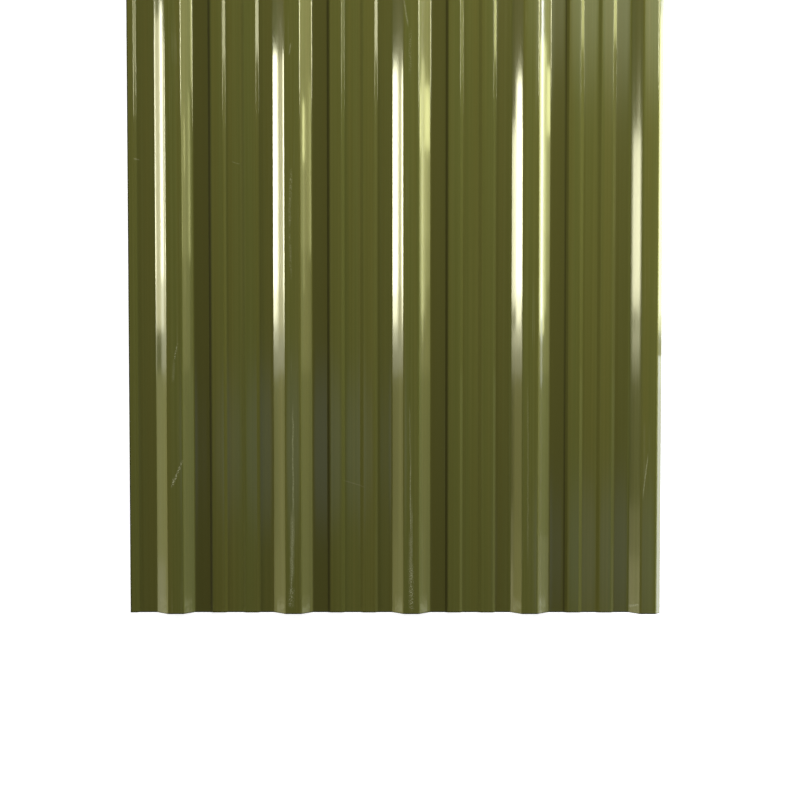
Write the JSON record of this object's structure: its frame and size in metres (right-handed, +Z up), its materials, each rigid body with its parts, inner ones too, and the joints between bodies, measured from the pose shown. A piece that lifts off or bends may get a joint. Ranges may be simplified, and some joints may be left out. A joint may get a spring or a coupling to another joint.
{
  "type": "corrugated metal sheet",
  "caption": "Ribbed roofing sheet of olive-painted steel, roll-formed with trapezoidal main ribs, low stiffening ribs in the pans and side laps, for roofs and walls.",
  "frame": {"origin": "middle of the sheet's length and width, on the plane that the pans rest on", "axes": "+X across the ribs towards the overlap edge, +Y along the ribs, +Z up out of the painted face"},
  "size_m": [1.0282, 2.4384, 0.0195],
  "materials": {
    "painted_steel": "gloss"
  },
  "bodies": {
    "root": {"ribbed_sheet": "painted_steel"}
  },
  "joints": []
}
